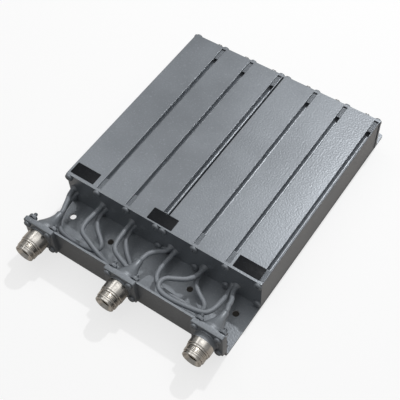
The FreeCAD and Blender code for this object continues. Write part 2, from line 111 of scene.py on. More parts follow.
class DuplexerFinish(bpy.types.PropertyGroup):
    paint: colour("Paint", (0.236, 0.256, 0.280), "Baked grey paint of the housing")
    paint_roughness: share("Paint roughness", 0.35, "How dull the paint is")
    flake: share("Metal flake", 0.4, "How much of the light the paint's metal flakes throw back")
    peel_size: length("Orange peel", 1.3, "Width of one bump of the paint's skin")
    peel_depth: length("Peel depth", 0.10, "Height of the paint's bumps")
    nickel: colour("Nickel", (0.60, 0.575, 0.535), "Plated barrels of the jacks")
    steel: colour("Bright plating", (0.66, 0.67, 0.68), "Tuning screws and their nuts")
    insulator: colour("Insulator", (0.78, 0.77, 0.72), "Plastic that holds the centre contacts")
    silver: colour("Silver plating", (0.80, 0.78, 0.72), "Rods and loops inside the cavities")
    gold: colour("Gold plating", (0.75, 0.56, 0.26), "Centre contacts")
    tape: colour("Tape", (0.007, 0.008, 0.010), "Dark tape on the blocks' tops")


class DuplexerJack(bpy.types.PropertyGroup):
    flange_side: length("Flange", 25.4, "Side of the square flange")
    flange_thickness: length("Flange thickness", 3.5, "Thickness of the square flange")
    flange_corner: length("Flange corner", 1.2, "Radius of the flange's corners")
    hole_pitch: length("Hole pitch", 18.26, "Distance between the flange's holes")
    hole_radius: length("Hole radius", 1.7, "Radius of the flange's holes")
    collar_radius: length("Collar radius", 9.3, "Radius of the painted collar")
    collar_length: length("Collar length", 1.0, "Length of the painted collar")
    neck_radius: length("Neck radius", 8.6, "Radius of the smooth neck")
    neck_length: length("Neck length", 8.5, "Length of the smooth neck")
    notch: length("Notch", 0.35, "Width and depth of the groove at the neck's end")
    step_radius: length("Ring radius", 8.25, "Radius of the smooth ring behind the threads")
    step_length: length("Ring length", 1.2, "Length of the smooth ring behind the threads")
    thread_radius: length("Thread radius", 7.94, "Radius over the threads")
    thread_depth: length("Thread depth", 0.5, "Depth of the threads")
    thread_pitch: length("Thread pitch", 1.058, "Distance from thread to thread")
    thread_length: length("Thread length", 4.8, "Length of the threaded part")
    relief_radius: length("Relief radius", 6.9, "Radius of the groove behind the rim")
    relief_length: length("Relief length", 0.8, "Length of the groove behind the rim")
    rim_radius: length("Rim radius", 7.3, "Radius of the rim")
    mouth_radius: length("Mouth radius", 4.1, "Radius of the mouth")
    mouth_chamfer: length("Mouth chamfer", 2.2, "Slope at the mouth's edge")
    overspray: length("Overspray", 3.4, "How far the paint reaches along the neck of the right jack")


class DuplexerFasteners(bpy.types.PropertyGroup):
    head_radius: length("Head radius", 3.1, "Radius of a plate screw's head")
    head_height: length("Head height", 2.2, "Height of a plate screw's head")
    shank_radius: length("Shank radius", 1.62, "Radius over a plate screw's threads")
    shank_reach: length("Shank reach", 12.0, "Length of a plate screw under its head")
    shank_pitch: length("Shank pitch", 0.8, "Distance from thread to thread")
    recess_span: length("Recess span", 3.3, "Length of the cross recess")
    recess_width: length("Recess width", 0.85, "Width of the cross recess")
    recess_depth: length("Recess depth", 1.4, "Depth of the cross recess")
    groove_width: length("Groove width", 3.2, "Width of the threads seen in a top groove")
    groove_depth: length("Groove depth", 0.75, "How far those threads lie under the blocks' top")
    groove_fill: length("Groove fill", 11.0, "Length of those threads at each end of a groove")
    flange_head_radius: length("Flange head", 2.7, "Radius of a flange screw's head")
    flange_shank_radius: length("Flange screw", 1.5, "Radius over a flange screw's threads")
    flange_root_radius: length("Flange core", 1.25, "Radius of a flange screw under its threads")
    flange_pitch: length("Flange pitch", 0.5, "Distance from thread to thread of a flange screw")
    flange_nut_flats: length("Flange nut", 5.5, "Width of a flange nut over its flats")
    flange_nut_bore: length("Nut bore", 1.45, "Radius of a flange nut's bore")
    tuner_radius: length("Tuner radius", 3.0, "Radius over a tuning screw's threads")
    tuner_pitch: length("Tuner pitch", 1.0, "Distance from thread to thread of a tuning screw")
    slot_width: length("Slot width", 0.9, "Width of a tuning screw's slot")
    slot_depth: length("Slot depth", 1.4, "Depth of a tuning screw's slot")


class DuplexerWiring(bpy.types.PropertyGroup):
    jumper_radius: length("Jumper radius", 1.8, "Radius of a painted jumper")
    hood_rim: length("Hood rim", 1.8, "Thickness of a hood's rim against the lip")
    sleeve_radius: length("Sleeve radius", 2.8, "Radius of a hood's sleeve round its cable")
    sleeve_length: length("Sleeve length", 3.0, "Length of a hood's sleeve")
    solder_radius: length("Solder radius", 3.0, "Radius of the solder round an entry")
    solder_length: length("Solder length", 2.4, "Length of the solder round an entry")
    tape_length: length("Tape length", 20.9, "Length of a piece of tape")
    tape_width: length("Tape width", 10.1, "Width of a piece of tape")
    tape_thickness: length("Tape thickness", 0.14, "Thickness of a piece of tape")


class DuplexerStage(bpy.types.PropertyGroup):
    lens: number("Lens", 75.72, "Focal length in millimetres")
    azimuth: angle("Azimuth", 37.18, "Camera's bearing")
    elevation: angle("Elevation", 55.83, "Camera's height over the floor")
    roll: angle("Roll", -3.24, "Camera's roll")
    camera_place: vector("Camera", (0.2115, -0.3110, 0.5218), "Camera's place", "TRANSLATION")
    shift: vector("Shift", (0.0017, 0.0005), "The lens's shift, in frame widths", "NONE")
    horizon: number("Horizon", 0.10, "Light from all round")
    mirrored: number("Mirrored room", 0.2, "What polished metal sees more")
    overhead: number("Overhead", 0.8, "What is added overhead")
    key_level: number("Key level", 0.41, "Light of the small lamp")
    key_size: length("Key size", 50.0, "Width of the small lamp")
    key_distance: length("Key distance", 1500.0, "Distance of the small lamp")
    key_slope: vector("Key slope", (0.03, 0.577, 0.817), "Towards the small lamp", "DIRECTION")
    strip_level: number("Strip level", 0.035, "Light of the long lamp")
    strip_size: length("Strip size", 120.0, "Width of the long lamp")
    strip_length: length("Strip length", 400.0, "Length of the long lamp")
    strip_distance: length("Strip distance", 1000.0, "Distance of the long lamp")
    strip_slope: vector("Strip slope", (-0.56, 0.30, 0.77), "Towards the long lamp", "DIRECTION")
    box_level: number("Box level", 0.08, "Light of the soft box")
    box_size: length("Box size", 1000.0, "Width of the soft box")
    box_length: length("Box length", 450.0, "Length of the soft box")
    box_distance: length("Box distance", 1200.0, "Distance of the soft box")
    box_slope: vector("Box slope", (0.25, 0.50, 0.83), "Towards the soft box", "DIRECTION")


GROUPS = {
    "duplexer_finish": DuplexerFinish,
    "duplexer_jack": DuplexerJack,
    "duplexer_fasteners": DuplexerFasteners,
    "duplexer_wiring": DuplexerWiring,
    "duplexer_stage": DuplexerStage,
}


class Value:
    """An output socket in a tree of nodes. Sums and products of it add Math nodes."""

    def __init__(self, nodes, socket):
        self.nodes = nodes
        self.socket = socket

    def maths(self, operation, first, second):
        return self.nodes.node("ShaderNodeMath", {"operation": operation}, {0: first, 1: second})

    def __add__(self, other):
        return self.maths("ADD", self, other)

    def __sub__(self, other):
        return self.maths("SUBTRACT", self, other)

    def __rsub__(self, other):
        return self.maths("SUBTRACT", other, self)

    def __mul__(self, other):
        return self.maths("MULTIPLY", self, other)

    def __gt__(self, other):
        return self.maths("GREATER_THAN", self, other)

    __radd__ = __add__


class Nodes:
    """The nodes of a material or of the world."""

    def __init__(self, tree):
        self.tree = tree

    def node(self, kind, settings=None, inputs=None, output=0):
        """A node of any kind: its settings first, then its sockets' values or links."""
        made = self.tree.nodes.new(kind)
        for key, value in (settings or {}).items():
            setattr(made, key, value)
        for key, value in (inputs or {}).items():
            self.put(made.inputs[key], value)
        return Value(self, made.outputs[output])

    def put(self, socket, value):
        if isinstance(value, Value):
            self.tree.links.new(value.socket, socket)
        else:
            socket.default_value = value

    def rays(self, *kinds):
        """1 for the kinds of ray that are named, 0 for the others."""
        return sum(self.node("ShaderNodeLightPath", output="Is %s Ray" % kind) for kind in kinds)

    def axis(self, place, name):
        return self.node("ShaderNodeSeparateXYZ", {}, {"Vector": place}, output=name)


class Finish(Nodes):
    """One material with its Principled shader."""

    def __init__(self, name, roughness=0.5, metallic=0.0, specular=0.5):
        self.material = bpy.data.materials.new(name + "_finish")
        self.material.use_nodes = True
        super().__init__(self.material.node_tree)
        self.shader = self.tree.nodes["Principled BSDF"]
        self.set("Roughness", roughness)
        self.set("Metallic", metallic)
        self.set("Specular IOR Level", specular)
        self.place = self.node("ShaderNodeTexCoord", output="Object")

    def set(self, name, value):
        self.put(self.shader.inputs[name], value)

    def noise(self, size, detail=2.0, stretch=(1, 1, 1)):
        """Soft noise whose blots are about that wide, in metres."""
        place = self.node("ShaderNodeMapping", {}, {"Vector": self.place, "Scale": stretch})
        return self.node("ShaderNodeTexNoise", {},
                         {"Vector": place, "Scale": 1 / size, "Detail": detail})

    def mix(self, low, high, factor):
        """A colour between two colours."""
        return self.node("ShaderNodeMix", {"data_type": "RGBA"}, {0: factor, 6: low, 7: high}, output=2)

    def band(self, value, low, high):
        """0 below low, 1 above high, smooth between."""
        return self.node("ShaderNodeMapRange", {"interpolation_type": "SMOOTHSTEP"},
                         {"Value": value, "From Min": low, "From Max": high})

    def cover(self, mask, shade, roughness):
        """Lay paint over what the shader has so far, where the mask is 1."""
        base = self.shader.inputs["Base Color"]
        dull = self.shader.inputs["Roughness"]
        below = Value(self, base.links[0].from_socket)
        gloss = Value(self, dull.links[0].from_socket)
        self.put(base, self.mix(below, shade, mask))
        self.put(dull, gloss * (1 - mask) + mask * roughness)
        self.set("Metallic", 1 - mask)

    def bump(self, height, depth):
        self.set("Normal", self.node("ShaderNodeBump", {}, {"Height": height, "Distance": depth}))


# Depth of the turning marks in plated metal, and how dull the paint is where it was sprayed over metal
FINE_MARKS = 0.01 * MM
SPRAY_ROUGHNESS = 0.42


def rgba(shade, factor=1.0):
    return (shade[0] * factor, shade[1] * factor, shade[2] * factor, 1.0)


def looks():
    return bpy.context.scene.duplexer_finish


def painted(name, tone, peel, gloss, flake=1.0):
    """Baked paint: orange peel with painted shade in its hollows, a slow drift of tone, dust specks and
    duller patches.
    """
    look = looks()
    finish = Finish(name, metallic=look.flake * flake)
    drift = finish.noise(50 * MM, 3.0)
    cells = finish.noise(look.peel_size, 1.5)
    grit = finish.noise(look.peel_size * 0.3, 1.0)
    dust = finish.band(finish.noise(1.1 * MM, 0.0), 0.70, 0.74)
    dark, low, high, bright = [rgba(look.paint, factor * tone) for factor in (0.82, 0.90, 1.10, 1.5)]
    shade = finish.mix(low, high, finish.band(drift, 0.3, 0.7))
    shade = finish.mix(shade, bright, dust * 0.35)
    # Painted shade: the base colour darkens by up to 30 % in the orange peel's hollows
    finish.set("Base Color", finish.mix(shade, dark, finish.band(cells, 0.62, 0.40) * 0.3))
    finish.set("Roughness", (drift - 0.5) * 0.16 + (grit - 0.5) * 0.14 + gloss)
    finish.bump(cells + grit * 0.22, look.peel_depth * peel)
    return finish.material


def plated(name, shade, roughness, marks):
    """Plated metal: turning marks round the Y axis, of a depth in metres, and slow smudges."""
    finish = Finish(name, metallic=1.0)
    smudge = finish.noise(4 * MM, 3.0)
    turning = finish.noise(0.6 * MM, 2.0, stretch=(0.06, 1.6, 0.06))
    clean = finish.band(smudge, 0.3, 0.62)
    finish.set("Base Color", finish.mix(rgba(shade, 0.82), rgba(shade, 1.06), clean))
    finish.set("Roughness", smudge * 0.22 + turning * 0.12 + (roughness - 0.17))
    finish.bump(turning, marks)
    return finish


def grey_paint():
    return painted("grey_paint", 1.0, 1.0, looks().paint_roughness)


def wiring_paint():
    """The same paint, thinner and smoother on cable and small metal."""
    return painted("wiring_paint", 0.97, 0.4, looks().paint_roughness + 0.08, 0.6)


def cable_paint():
    """The same paint on the jumpers, dull and without much flake, and a little lighter as painted
    light, so that they look lit.
    """
    # The tone of 1.05 is painted light: a lighter copy of the housing's paint
    return painted("cable_paint", 1.05, 0.5, looks().paint_roughness + 0.18, 0.15)


def nickel_plate():
    """Nickel of the barrels, with paint sprayed over the neck's root, furthest on the right jack."""
    jack = bpy.context.scene.duplexer_jack
    finish = plated("nickel_plate", looks().nickel, 0.25, FINE_MARKS)
    root_y = FLANGE_BACK_Y - jack.flange_thickness - jack.collar_length
    reach = finish.node("ShaderNodeMapRange", {}, {"Value": finish.axis(finish.place, "X"),
                                                   "From Min": PORT_XS["middle"],
                                                   "From Max": PORT_XS["right"]})
    ragged = (finish.noise(3 * MM) - 0.5) * (0.8 * MM)
    edge = finish.axis(finish.place, "Y") + reach * jack.overspray + ragged
    fade = 0.15 * MM
    finish.cover(finish.band(edge, root_y - fade, root_y + fade), rgba(looks().paint), SPRAY_ROUGHNESS)
    return finish.material


def bright_plate():
    return plated("bright_plate", looks().steel, 0.2, FINE_MARKS).material


def contact_plate():
    return plated("contact_plate", looks().gold, 0.26, FINE_MARKS).material


def silver_plate():
    """Silver inside the cavities; the rods' ends are painted over with the front plate."""
    finish = plated("silver_plate", looks().silver, 0.34, 2 * FINE_MARKS)
    edge = finish.band(finish.axis(finish.place, "Y"), PLATE_FACE_Y + 0.6 * MM, PLATE_FACE_Y + 0.4 * MM)
    finish.cover(edge, rgba(looks().paint), SPRAY_ROUGHNESS)
    return finish.material


def moulded(name, shade, roughness):
    """Turned or moulded plastic with a faint grain."""
    finish = Finish(name)
    grain = finish.noise(0.8 * MM, 3.0)
    cloud = finish.noise(6 * MM, 2.0)
    finish.set("Base Color", finish.mix(rgba(shade, 0.86), rgba(shade, 1.05), cloud))
    finish.set("Roughness", grain * 0.2 + (roughness - 0.1))
    finish.bump(grain, 0.02 * MM)
    return finish.material


def white_insulator():
    return moulded("white_insulator", looks().insulator, 0.45)


def black_tape():
    """Dark tape with a fine weave of scuffs."""
    shade = looks().tape
    finish = Finish("black_tape", specular=0.12)
    scuff = finish.noise(0.9 * MM, 4.0, stretch=(0.5, 1.6, 1.0))
    cloud = finish.noise(5 * MM, 2.0)
    finish.set("Base Color", finish.mix(rgba(shade), rgba(shade, 2.6), finish.band(scuff, 0.52, 0.74)))
    finish.set("Roughness", cloud * 0.3 + scuff * 0.2 + 0.25)
    finish.bump(scuff, 0.04 * MM)
    return finish.material


def material(make):
    """The material that a function makes, made once. The frame brings plain ones named as the slots."""
    found = bpy.data.materials.get(make.__name__ + "_finish")
    return found if found else make()


def paint_node(node, make):
    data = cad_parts[node].data
    data.materials.clear()
    data.materials.append(material(make))


def only(obj):
    """Select one object and make it active."""
    bpy.ops.object.select_all(action="DESELECT")
    obj.select_set(True)
    bpy.context.view_layer.objects.active = obj


def settle(obj):
    """Put an object's place, turn and scale into its mesh."""
    only(obj)
    bpy.ops.object.transform_apply(location=True, rotation=True, scale=True)


def begin(add, scale=(1, 1, 1), **settings):
    """Add a primitive with nothing else selected."""
    bpy.ops.object.select_all(action="DESELECT")
    add(**settings)
    obj = bpy.context.object
    obj.scale = scale
    settle(obj)
    return obj


def block(size, centre):
    return begin(bpy.ops.mesh.primitive_cube_add, size=1, location=centre, scale=size)


def cylinder(radius, depth, centre, vertices):
    """A cylinder along the Y axis."""
    return begin(bpy.ops.mesh.primitive_cylinder_add, vertices=vertices, radius=radius, depth=depth,
                 location=centre, rotation=(math.pi / 2, 0, 0))


def moved(obj, place):
    obj.location = place
    settle(obj)
    return obj


def edit(obj, everything=True):
    only(obj)
    bpy.ops.object.mode_set(mode="EDIT")
    bpy.ops.mesh.select_all(action="SELECT" if everything else "DESELECT")


def done():
    bpy.ops.object.mode_set(mode="OBJECT")


def pick(obj, kind, test):
    """In edit mode, select only the faces or edges that pass a test."""
    bpy.ops.mesh.select_all(action="DESELECT")
    bpy.ops.mesh.select_mode(type={"faces": "FACE", "edges": "EDGE"}[kind])
    mesh = bmesh.from_edit_mesh(obj.data)
    for element in getattr(mesh, kind):
        if test(element):
            element.select_set(True)
    bmesh.update_edit_mesh(obj.data)


def modify(obj, kind, **settings):
    """Add a modifier and apply it."""
    modifier = obj.modifiers.new(kind.title(), kind)
    for key, value in settings.items():
        setattr(modifier, key, value)
    only(obj)
    bpy.ops.object.modifier_apply(modifier=modifier.name)


def carve(obj, tool, operation="DIFFERENCE"):
    modify(obj, "BOOLEAN", object=tool, operation=operation, solver="EXACT")
    bpy.data.objects.remove(tool, do_unlink=True)


def soften(obj, width, degrees=30.0):
    modify(obj, "BEVEL", width=width, segments=2, limit_method="ANGLE",
           angle_limit=math.radians(degrees))


def smooth(obj, degrees=35.0):
    only(obj)
    bpy.ops.object.shade_smooth_by_angle(angle=math.radians(degrees))


def turned(stations, segments=48, closed=False):
    """A turned shape on the Y axis: one circle extruded through (radius, y) stations.
    A closed one is a ring whose last station is bridged to its first; any other is capped."""
    radius, y = stations[0]
    obj = begin(bpy.ops.mesh.primitive_circle_add, vertices=segments, radius=radius, location=(0, y, 0),
                rotation=(math.pi / 2, 0, 0), fill_type="NOTHING" if closed else "NGON")
    edit(obj)
    if not closed:
        pick(obj, "faces", lambda face: True)
    bpy.ops.mesh.select_mode(type="EDGE")
    for next_radius, next_y in stations[1:]:
        bpy.ops.mesh.extrude_region_move(TRANSFORM_OT_translate={"value": (0, next_y - y, 0)})
        scale = next_radius / radius
        bpy.ops.transform.resize(value=(scale, 1, scale), center_override=(0, next_y, 0))
        radius, y = next_radius, next_y
    if closed:
        bpy.ops.mesh.select_all(action="DESELECT")
        bpy.ops.mesh.select_non_manifold()
        bpy.ops.mesh.bridge_edge_loops()
    bpy.ops.mesh.select_all(action="SELECT")
    bpy.ops.mesh.normals_make_consistent(inside=False)
    done()
    return obj


def thread(crest, depth, pitch, start_y, turns, steps=32):
    """A helical ridge round the Y axis, three-sided in section, closed at both ends."""
    size = depth / 1.5
    obj = begin(bpy.ops.mesh.primitive_circle_add, vertices=3, radius=size,
                location=(crest - size, start_y, 0), rotation=(0, 0, -math.pi / 2))
    modify(obj, "SCREW", axis="Y", angle=2 * math.pi, screw_offset=pitch, iterations=turns, steps=steps,
           render_steps=steps, use_merge_vertices=False, use_smooth_shade=False)
    edit(obj, everything=False)
    bpy.ops.mesh.select_mode(type="EDGE")
    bpy.ops.mesh.select_non_manifold()
    bpy.ops.mesh.edge_face_add()
    bpy.ops.mesh.select_all(action="SELECT")
    bpy.ops.mesh.normals_make_consistent(inside=False)
    done()
    return obj


def joined(objects):
    bpy.ops.object.select_all(action="DESELECT")
    for obj in objects:
        obj.select_set(True)
    bpy.context.view_layer.objects.active = objects[0]
    bpy.ops.object.join()
    return bpy.context.object


def copied(pattern, places):
    """Copies of one shape, each with its own mesh; a place is (location, turn about Z)."""
    copies = []
    for location, turn in places:
        copy = pattern.copy()
        copy.data = pattern.data.copy()
        bpy.context.collection.objects.link(copy)
        copy.location = location
        copy.rotation_euler = (0, 0, turn)
        settle(copy)
        copies.append(copy)
    bpy.data.objects.remove(pattern, do_unlink=True)
    return copies


def piece(obj, name, make, body="chassis", replaces=()):
    """Name a finished shape and fix it to its body, slot and material."""
    obj.name = name
    obj.data.name = name
    obj.data.materials.clear()
    obj.data.materials.append(material(make))
    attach(obj, body)
    if replaces:
        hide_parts(*replaces)
    return obj


class HousingOperator(bpy.types.Operator):
    """Paint the tray, the cavity blocks and the end plates"""
    bl_idname = "duplexer.housing"
    bl_label = "Housing"

    def execute(self, context):
        for node in ("tray", "front_plate", "rear_plate", "cavity_block_left", "cavity_block_right"):
            paint_node(node, grey_paint)
        return {"FINISHED"}


class InnerOperator(bpy.types.Operator):
    """Finish the rods, loops, insulators, contacts and flat screws that the frame brings"""
    bl_idname = "duplexer.inner"
    bl_label = "Inner parts"

    def execute(self, context):
        for number in CAVITIES:
            paint_node("resonator_rod_%d" % number, silver_plate)
            paint_node("coupling_loop_%d" % number, silver_plate)
        for side in SIDES:
            paint_node("connector_insulator_" + side, white_insulator)
            paint_node("connector_contact_" + side, contact_plate)
        paint_node("tray_screws", bright_plate)
        return {"FINISHED"}


def flange(jack, x, front_y):
    """Square flange with rounded corners, eased edges, four holes and a painted collar."""
    thickness = jack.flange_thickness
    back_y = front_y + thickness
    middle_y = (front_y + back_y) / 2
    plate = block((jack.flange_side, thickness, jack.flange_side), (0, middle_y, 0))
    edit(plate)
    pick(plate, "edges", lambda edge: abs(edge.verts[0].co.y - edge.verts[1].co.y) > 0.5 * thickness)
    bpy.ops.mesh.bevel(offset=jack.flange_corner, segments=5)
    pick(plate, "faces", lambda face: face.normal.y < -0.9)
    bpy.ops.mesh.bevel(offset=0.5 * MM, segments=3)
    done()
    offsets = [side * jack.hole_pitch / 2 for side in (-1, 1)]
    for dx in offsets:
        for dz in offsets:
            carve(plate, cylinder(jack.hole_radius, 3 * thickness, (dx, middle_y, dz), 24))
    collar_y = front_y - jack.collar_length
    fillet = 0.35 * MM
    edge = 0.3 * MM
    collar = turned([(jack.neck_radius, back_y - MM), (jack.collar_radius, back_y - MM),
                     (jack.collar_radius + fillet, front_y),
                     (jack.collar_radius + 0.25 * fillet, front_y - 0.3 * fillet),
                     (jack.collar_radius, front_y - fillet), (jack.collar_radius, collar_y + edge),
                     (jack.collar_radius - edge, collar_y), (jack.neck_radius - 0.2 * MM, collar_y)],
                    segments=64, closed=True)
    whole = joined([plate, collar])
    smooth(whole)
    return moved(whole, (x, 0, PORT_Z))


def barrel(jack, x, front_y):
    """Nickel barrel of a jack: neck, notch, ring, threads, relief and rim, with a sloped mouth."""
    collar_y = front_y - jack.collar_length
    ring_y = collar_y - jack.neck_length
    thread_y = ring_y - jack.step_length
    relief_y = thread_y - jack.thread_length
    rim_y = relief_y - jack.relief_length
    neck, ring, rim, mouth = jack.neck_radius, jack.step_radius, jack.rim_radius, jack.mouth_radius
    root = jack.thread_radius - jack.thread_depth
    notch_y = ring_y + jack.notch
    edge = 0.2 * MM
    core = turned([
        (neck, collar_y + MM), (neck, notch_y + edge), (neck - edge, notch_y),
        (ring - jack.notch, notch_y), (ring - jack.notch, ring_y), (ring - edge, ring_y),
        (ring, ring_y - edge), (ring, thread_y + edge), (ring - edge, thread_y),
        (root, thread_y), (root, relief_y),
        (jack.relief_radius, relief_y - edge), (jack.relief_radius, rim_y), (rim - edge, rim_y),
        (rim, rim_y - edge), (rim, JACK_FRONT_Y + 1.5 * edge), (rim - 1.5 * edge, JACK_FRONT_Y),
        (mouth + jack.mouth_chamfer, JACK_FRONT_Y), (mouth, JACK_FRONT_Y + jack.mouth_chamfer),
        (mouth, collar_y + MM)], segments=72, closed=True)
    turns = int(jack.thread_length / jack.thread_pitch)
    ridge = thread(jack.thread_radius, jack.thread_depth * 1.05, jack.thread_pitch,
                   relief_y + 0.45 * jack.thread_pitch, turns, steps=56)
    whole = joined([core, ridge])
    smooth(whole, 28)
    return moved(whole, (x, 0, PORT_Z))


class JackOperator(bpy.types.Operator):
    """Model the three jacks: painted flange, and nickel barrel with threads"""
    bl_idname = "duplexer.jacks"
    bl_label = "Jacks"

    def execute(self, context):
        jack = context.scene.duplexer_jack
        front_y = FLANGE_BACK_Y - jack.flange_thickness
        for side in SIDES:
            x = PORT_XS[side]
            piece(flange(jack, x, front_y), "jack_flange_" + side, grey_paint,
                  replaces=["connector_shell_" + side])
            piece(barrel(jack, x, front_y), "jack_barrel_" + side, nickel_plate)
        return {"FINISHED"}


class HoodOperator(bpy.types.Operator):
    """Turn the three cable hoods behind the flanges, each with a bead of solder at its cable"""
    bl_idname = "duplexer.hoods"
    bl_label = "Cable hoods"

    def execute(self, context):
        wire = context.scene.duplexer_wiring
        for side in SIDES:
            low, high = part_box("cable_hood_" + side)
            base = (high.x - low.x) / 2
            sleeve = wire.sleeve_radius
            rim_y = HOOD_BASE_Y + wire.hood_rim
            sleeve_y = HOOD_TIP_Y - wire.sleeve_length
            edge = 0.3 * MM
            flare = [(base - (base - sleeve) * (1 - (1 - t) ** 1.5), rim_y + t * (sleeve_y - rim_y))
                     for t in [i / 10 for i in range(1, 11)]]
            bead = wire.jumper_radius * 0.96
            stations = [
                (base * 0.55, HOOD_BASE_Y), (base - edge, HOOD_BASE_Y), (base, HOOD_BASE_Y + edge),
                (base, rim_y - 0.4 * MM), (base - edge, rim_y), (base - 0.8 * MM, rim_y), *flare,
                (sleeve, HOOD_TIP_Y - 0.7 * MM), (sleeve - 0.35 * MM, HOOD_TIP_Y),
                (bead + 0.2 * MM, HOOD_TIP_Y + 0.5 * MM), (bead, HOOD_TIP_Y + 1.2 * MM),
                (bead * 0.8, HOOD_TIP_Y)]
            hood = turned(stations, segments=48, closed=True)
            smooth(hood, 40)
            moved(hood, (PORT_XS[side], 0, PORT_Z))
            piece(hood, "hood_" + side, wiring_paint, replaces=["cable_hood_" + side])
        return {"FINISHED"}


# Where each cavity's two jumpers pass the front plate, in mm sideways and up from the cavity's axis
ENTRIES = [
    [(-11.0, -0.5), (-9.5, -5.0)],
    [(-9.8, 0.0), (-8.5, -4.5)],
    [(-9.2, 0.0), (-8.0, -4.5)],
    [(-7.4, -4.0), (-4.0, -7.0)],
    [(-4.5, -5.0), (-6.5, -8.8)],
    [(-4.0, -4.5), (-7.0, -7.4)],
]


def entry_place(cavity, entry):
    """Where a jumper meets the back of the front plate."""
    aside, up = ENTRIES[cavity][entry]
    return Vector((ROD_XS[cavity] + aside * MM, PLATE_BACK_Y, AXIS_Z + up * MM))


def stub(cavity, entry, reach):
    """The first two points of a jumper, straight out of the front plate for a reach in mm."""
    inner = entry_place(cavity, entry)
    return [inner, Vector((inner.x, PLATE_FACE_Y - reach * MM, inner.z))]


def hood_end(side):
    """The two points of a jumper inside and just outside the sleeve of a hood."""
    return [Vector((PORT_XS[side], HOOD_TIP_Y + y * MM, PORT_Z)) for y in (-5.0, 2.5)]


def free(*points):
    """Points in the wiring bay, in mm; y is counted from the front plate's face."""
    return [Vector((x * MM, PLATE_FACE_Y + y * MM, z * MM)) for x, y, z in points]


JUMPERS = {
    "left_port_to_cavity_1": hood_end("left") + free(
        (-73.2, -17.0, 19.2), (-75.6, -11.0, 18.0)) + stub(0, 0, 5.0)[::-1],
    "cavity_1_to_2": stub(0, 1, 5.5) + free(
        (-77.2, -12.5, 11.0), (-76.6, -20.0, 8.6), (-74.2, -27.0, 6.8), (-67.0, -31.2, 6.0),
        (-56.0, -31.6, 6.2), (-46.0, -31.4, 6.8), (-40.2, -31.2, 7.8), (-35.0, -30.2, 9.2),
        (-33.2, -26.2, 11.0), (-37.0, -22.4, 12.2), (-44.2, -17.6, 13.0), (-49.2, -10.6, 12.7))
        + stub(1, 1, 4.5)[::-1],
    "cavity_2_to_3": stub(1, 0, 4.5) + free(
        (-51.8, -12.5, 18.1), (-52.0, -20.5, 18.6), (-49.6, -27.6, 19.2), (-40.0, -31.2, 19.4),
        (-30.0, -34.6, 18.0), (-21.2, -35.6, 13.0), (-14.6, -35.0, 8.0), (-9.2, -33.6, 5.8),
        (-6.4, -30.4, 5.2), (-7.2, -26.6, 6.6), (-11.6, -23.6, 9.2), (-16.4, -19.8, 11.4),
        (-20.8, -15.0, 12.6), (-23.0, -9.0, 12.8)) + stub(2, 1, 3.5)[::-1],
    "cavity_3_to_middle_port": stub(2, 0, 4.5) + free(
        (-24.4, -12.0, 18.0), (-23.6, -20.0, 18.5), (-21.2, -26.4, 18.9), (-14.0, -29.8, 19.2),
        (-4.4, -32.8, 19.2)),
    "middle_port_to_cavity_4": hood_end("middle") + free(
        (0.6, -15.6, 18.2), (3.0, -10.2, 15.8)) + stub(3, 0, 4.5)[::-1],
    "cavity_4_to_5": stub(3, 1, 5.0) + free(
        (11.8, -12.5, 10.9), (11.9, -20.0, 11.2), (14.2, -26.4, 10.6), (20.4, -29.4, 9.4),
        (29.0, -29.8, 8.4), (37.5, -29.0, 7.8), (45.2, -29.5, 7.6), (51.2, -29.6, 8.0),
        (53.8, -27.3, 8.6), (53.8, -24.1, 9.4), (51.2, -21.8, 10.1), (47.4, -19.8, 10.6),
        (43.0, -17.2, 10.7), (38.4, -12.8, 9.8)) + stub(4, 1, 4.5)[::-1],
    "cavity_5_to_6": stub(4, 0, 4.5) + free(
        (37.0, -11.2, 14.6), (34.0, -17.2, 17.0), (28.0, -21.6, 18.6), (21.6, -25.4, 19.5),
        (20.8, -32.2, 20.0), (25.8, -36.0, 20.0), (35.0, -36.6, 20.0), (44.6, -35.4, 20.0),
        (53.8, -34.0, 20.0), (60.2, -32.0, 19.8), (63.0, -26.2, 19.2), (63.4, -18.0, 17.2),
        (62.6, -9.6, 13.0)) + stub(5, 1, 3.5)[::-1],
    "cavity_6_to_right_port": stub(5, 0, 4.0) + free(
        (66.0, -9.0, 15.2), (69.0, -14.0, 17.2), (69.4, -19.2, 18.7))
        + hood_end("right")[::-1],
}


class JumperOperator(bpy.types.Operator):
    """Run the eight painted jumpers through the wiring bay"""
    bl_idname = "duplexer.jumpers"
    bl_label = "Jumpers"

    def execute(self, context):
        wire = context.scene.duplexer_wiring
        for name, points in JUMPERS.items():
            curve = bpy.data.curves.new(name, "CURVE")
            curve.dimensions = "3D"
            curve.bevel_depth = wire.jumper_radius
            curve.bevel_resolution = 6
            curve.resolution_u = 10
            curve.use_fill_caps = True
            spline = curve.splines.new("NURBS")
            spline.points.add(len(points) - 1)
            for target, place in zip(spline.points, points):
                target.co = (*place, 1.0)
            spline.order_u = 3
            spline.use_endpoint_u = True
            jumper = bpy.data.objects.new(name, curve)
            bpy.context.collection.objects.link(jumper)
            piece(jumper, "wire_" + name, cable_paint, replaces=["jumper_" + name])
        return {"FINISHED"}


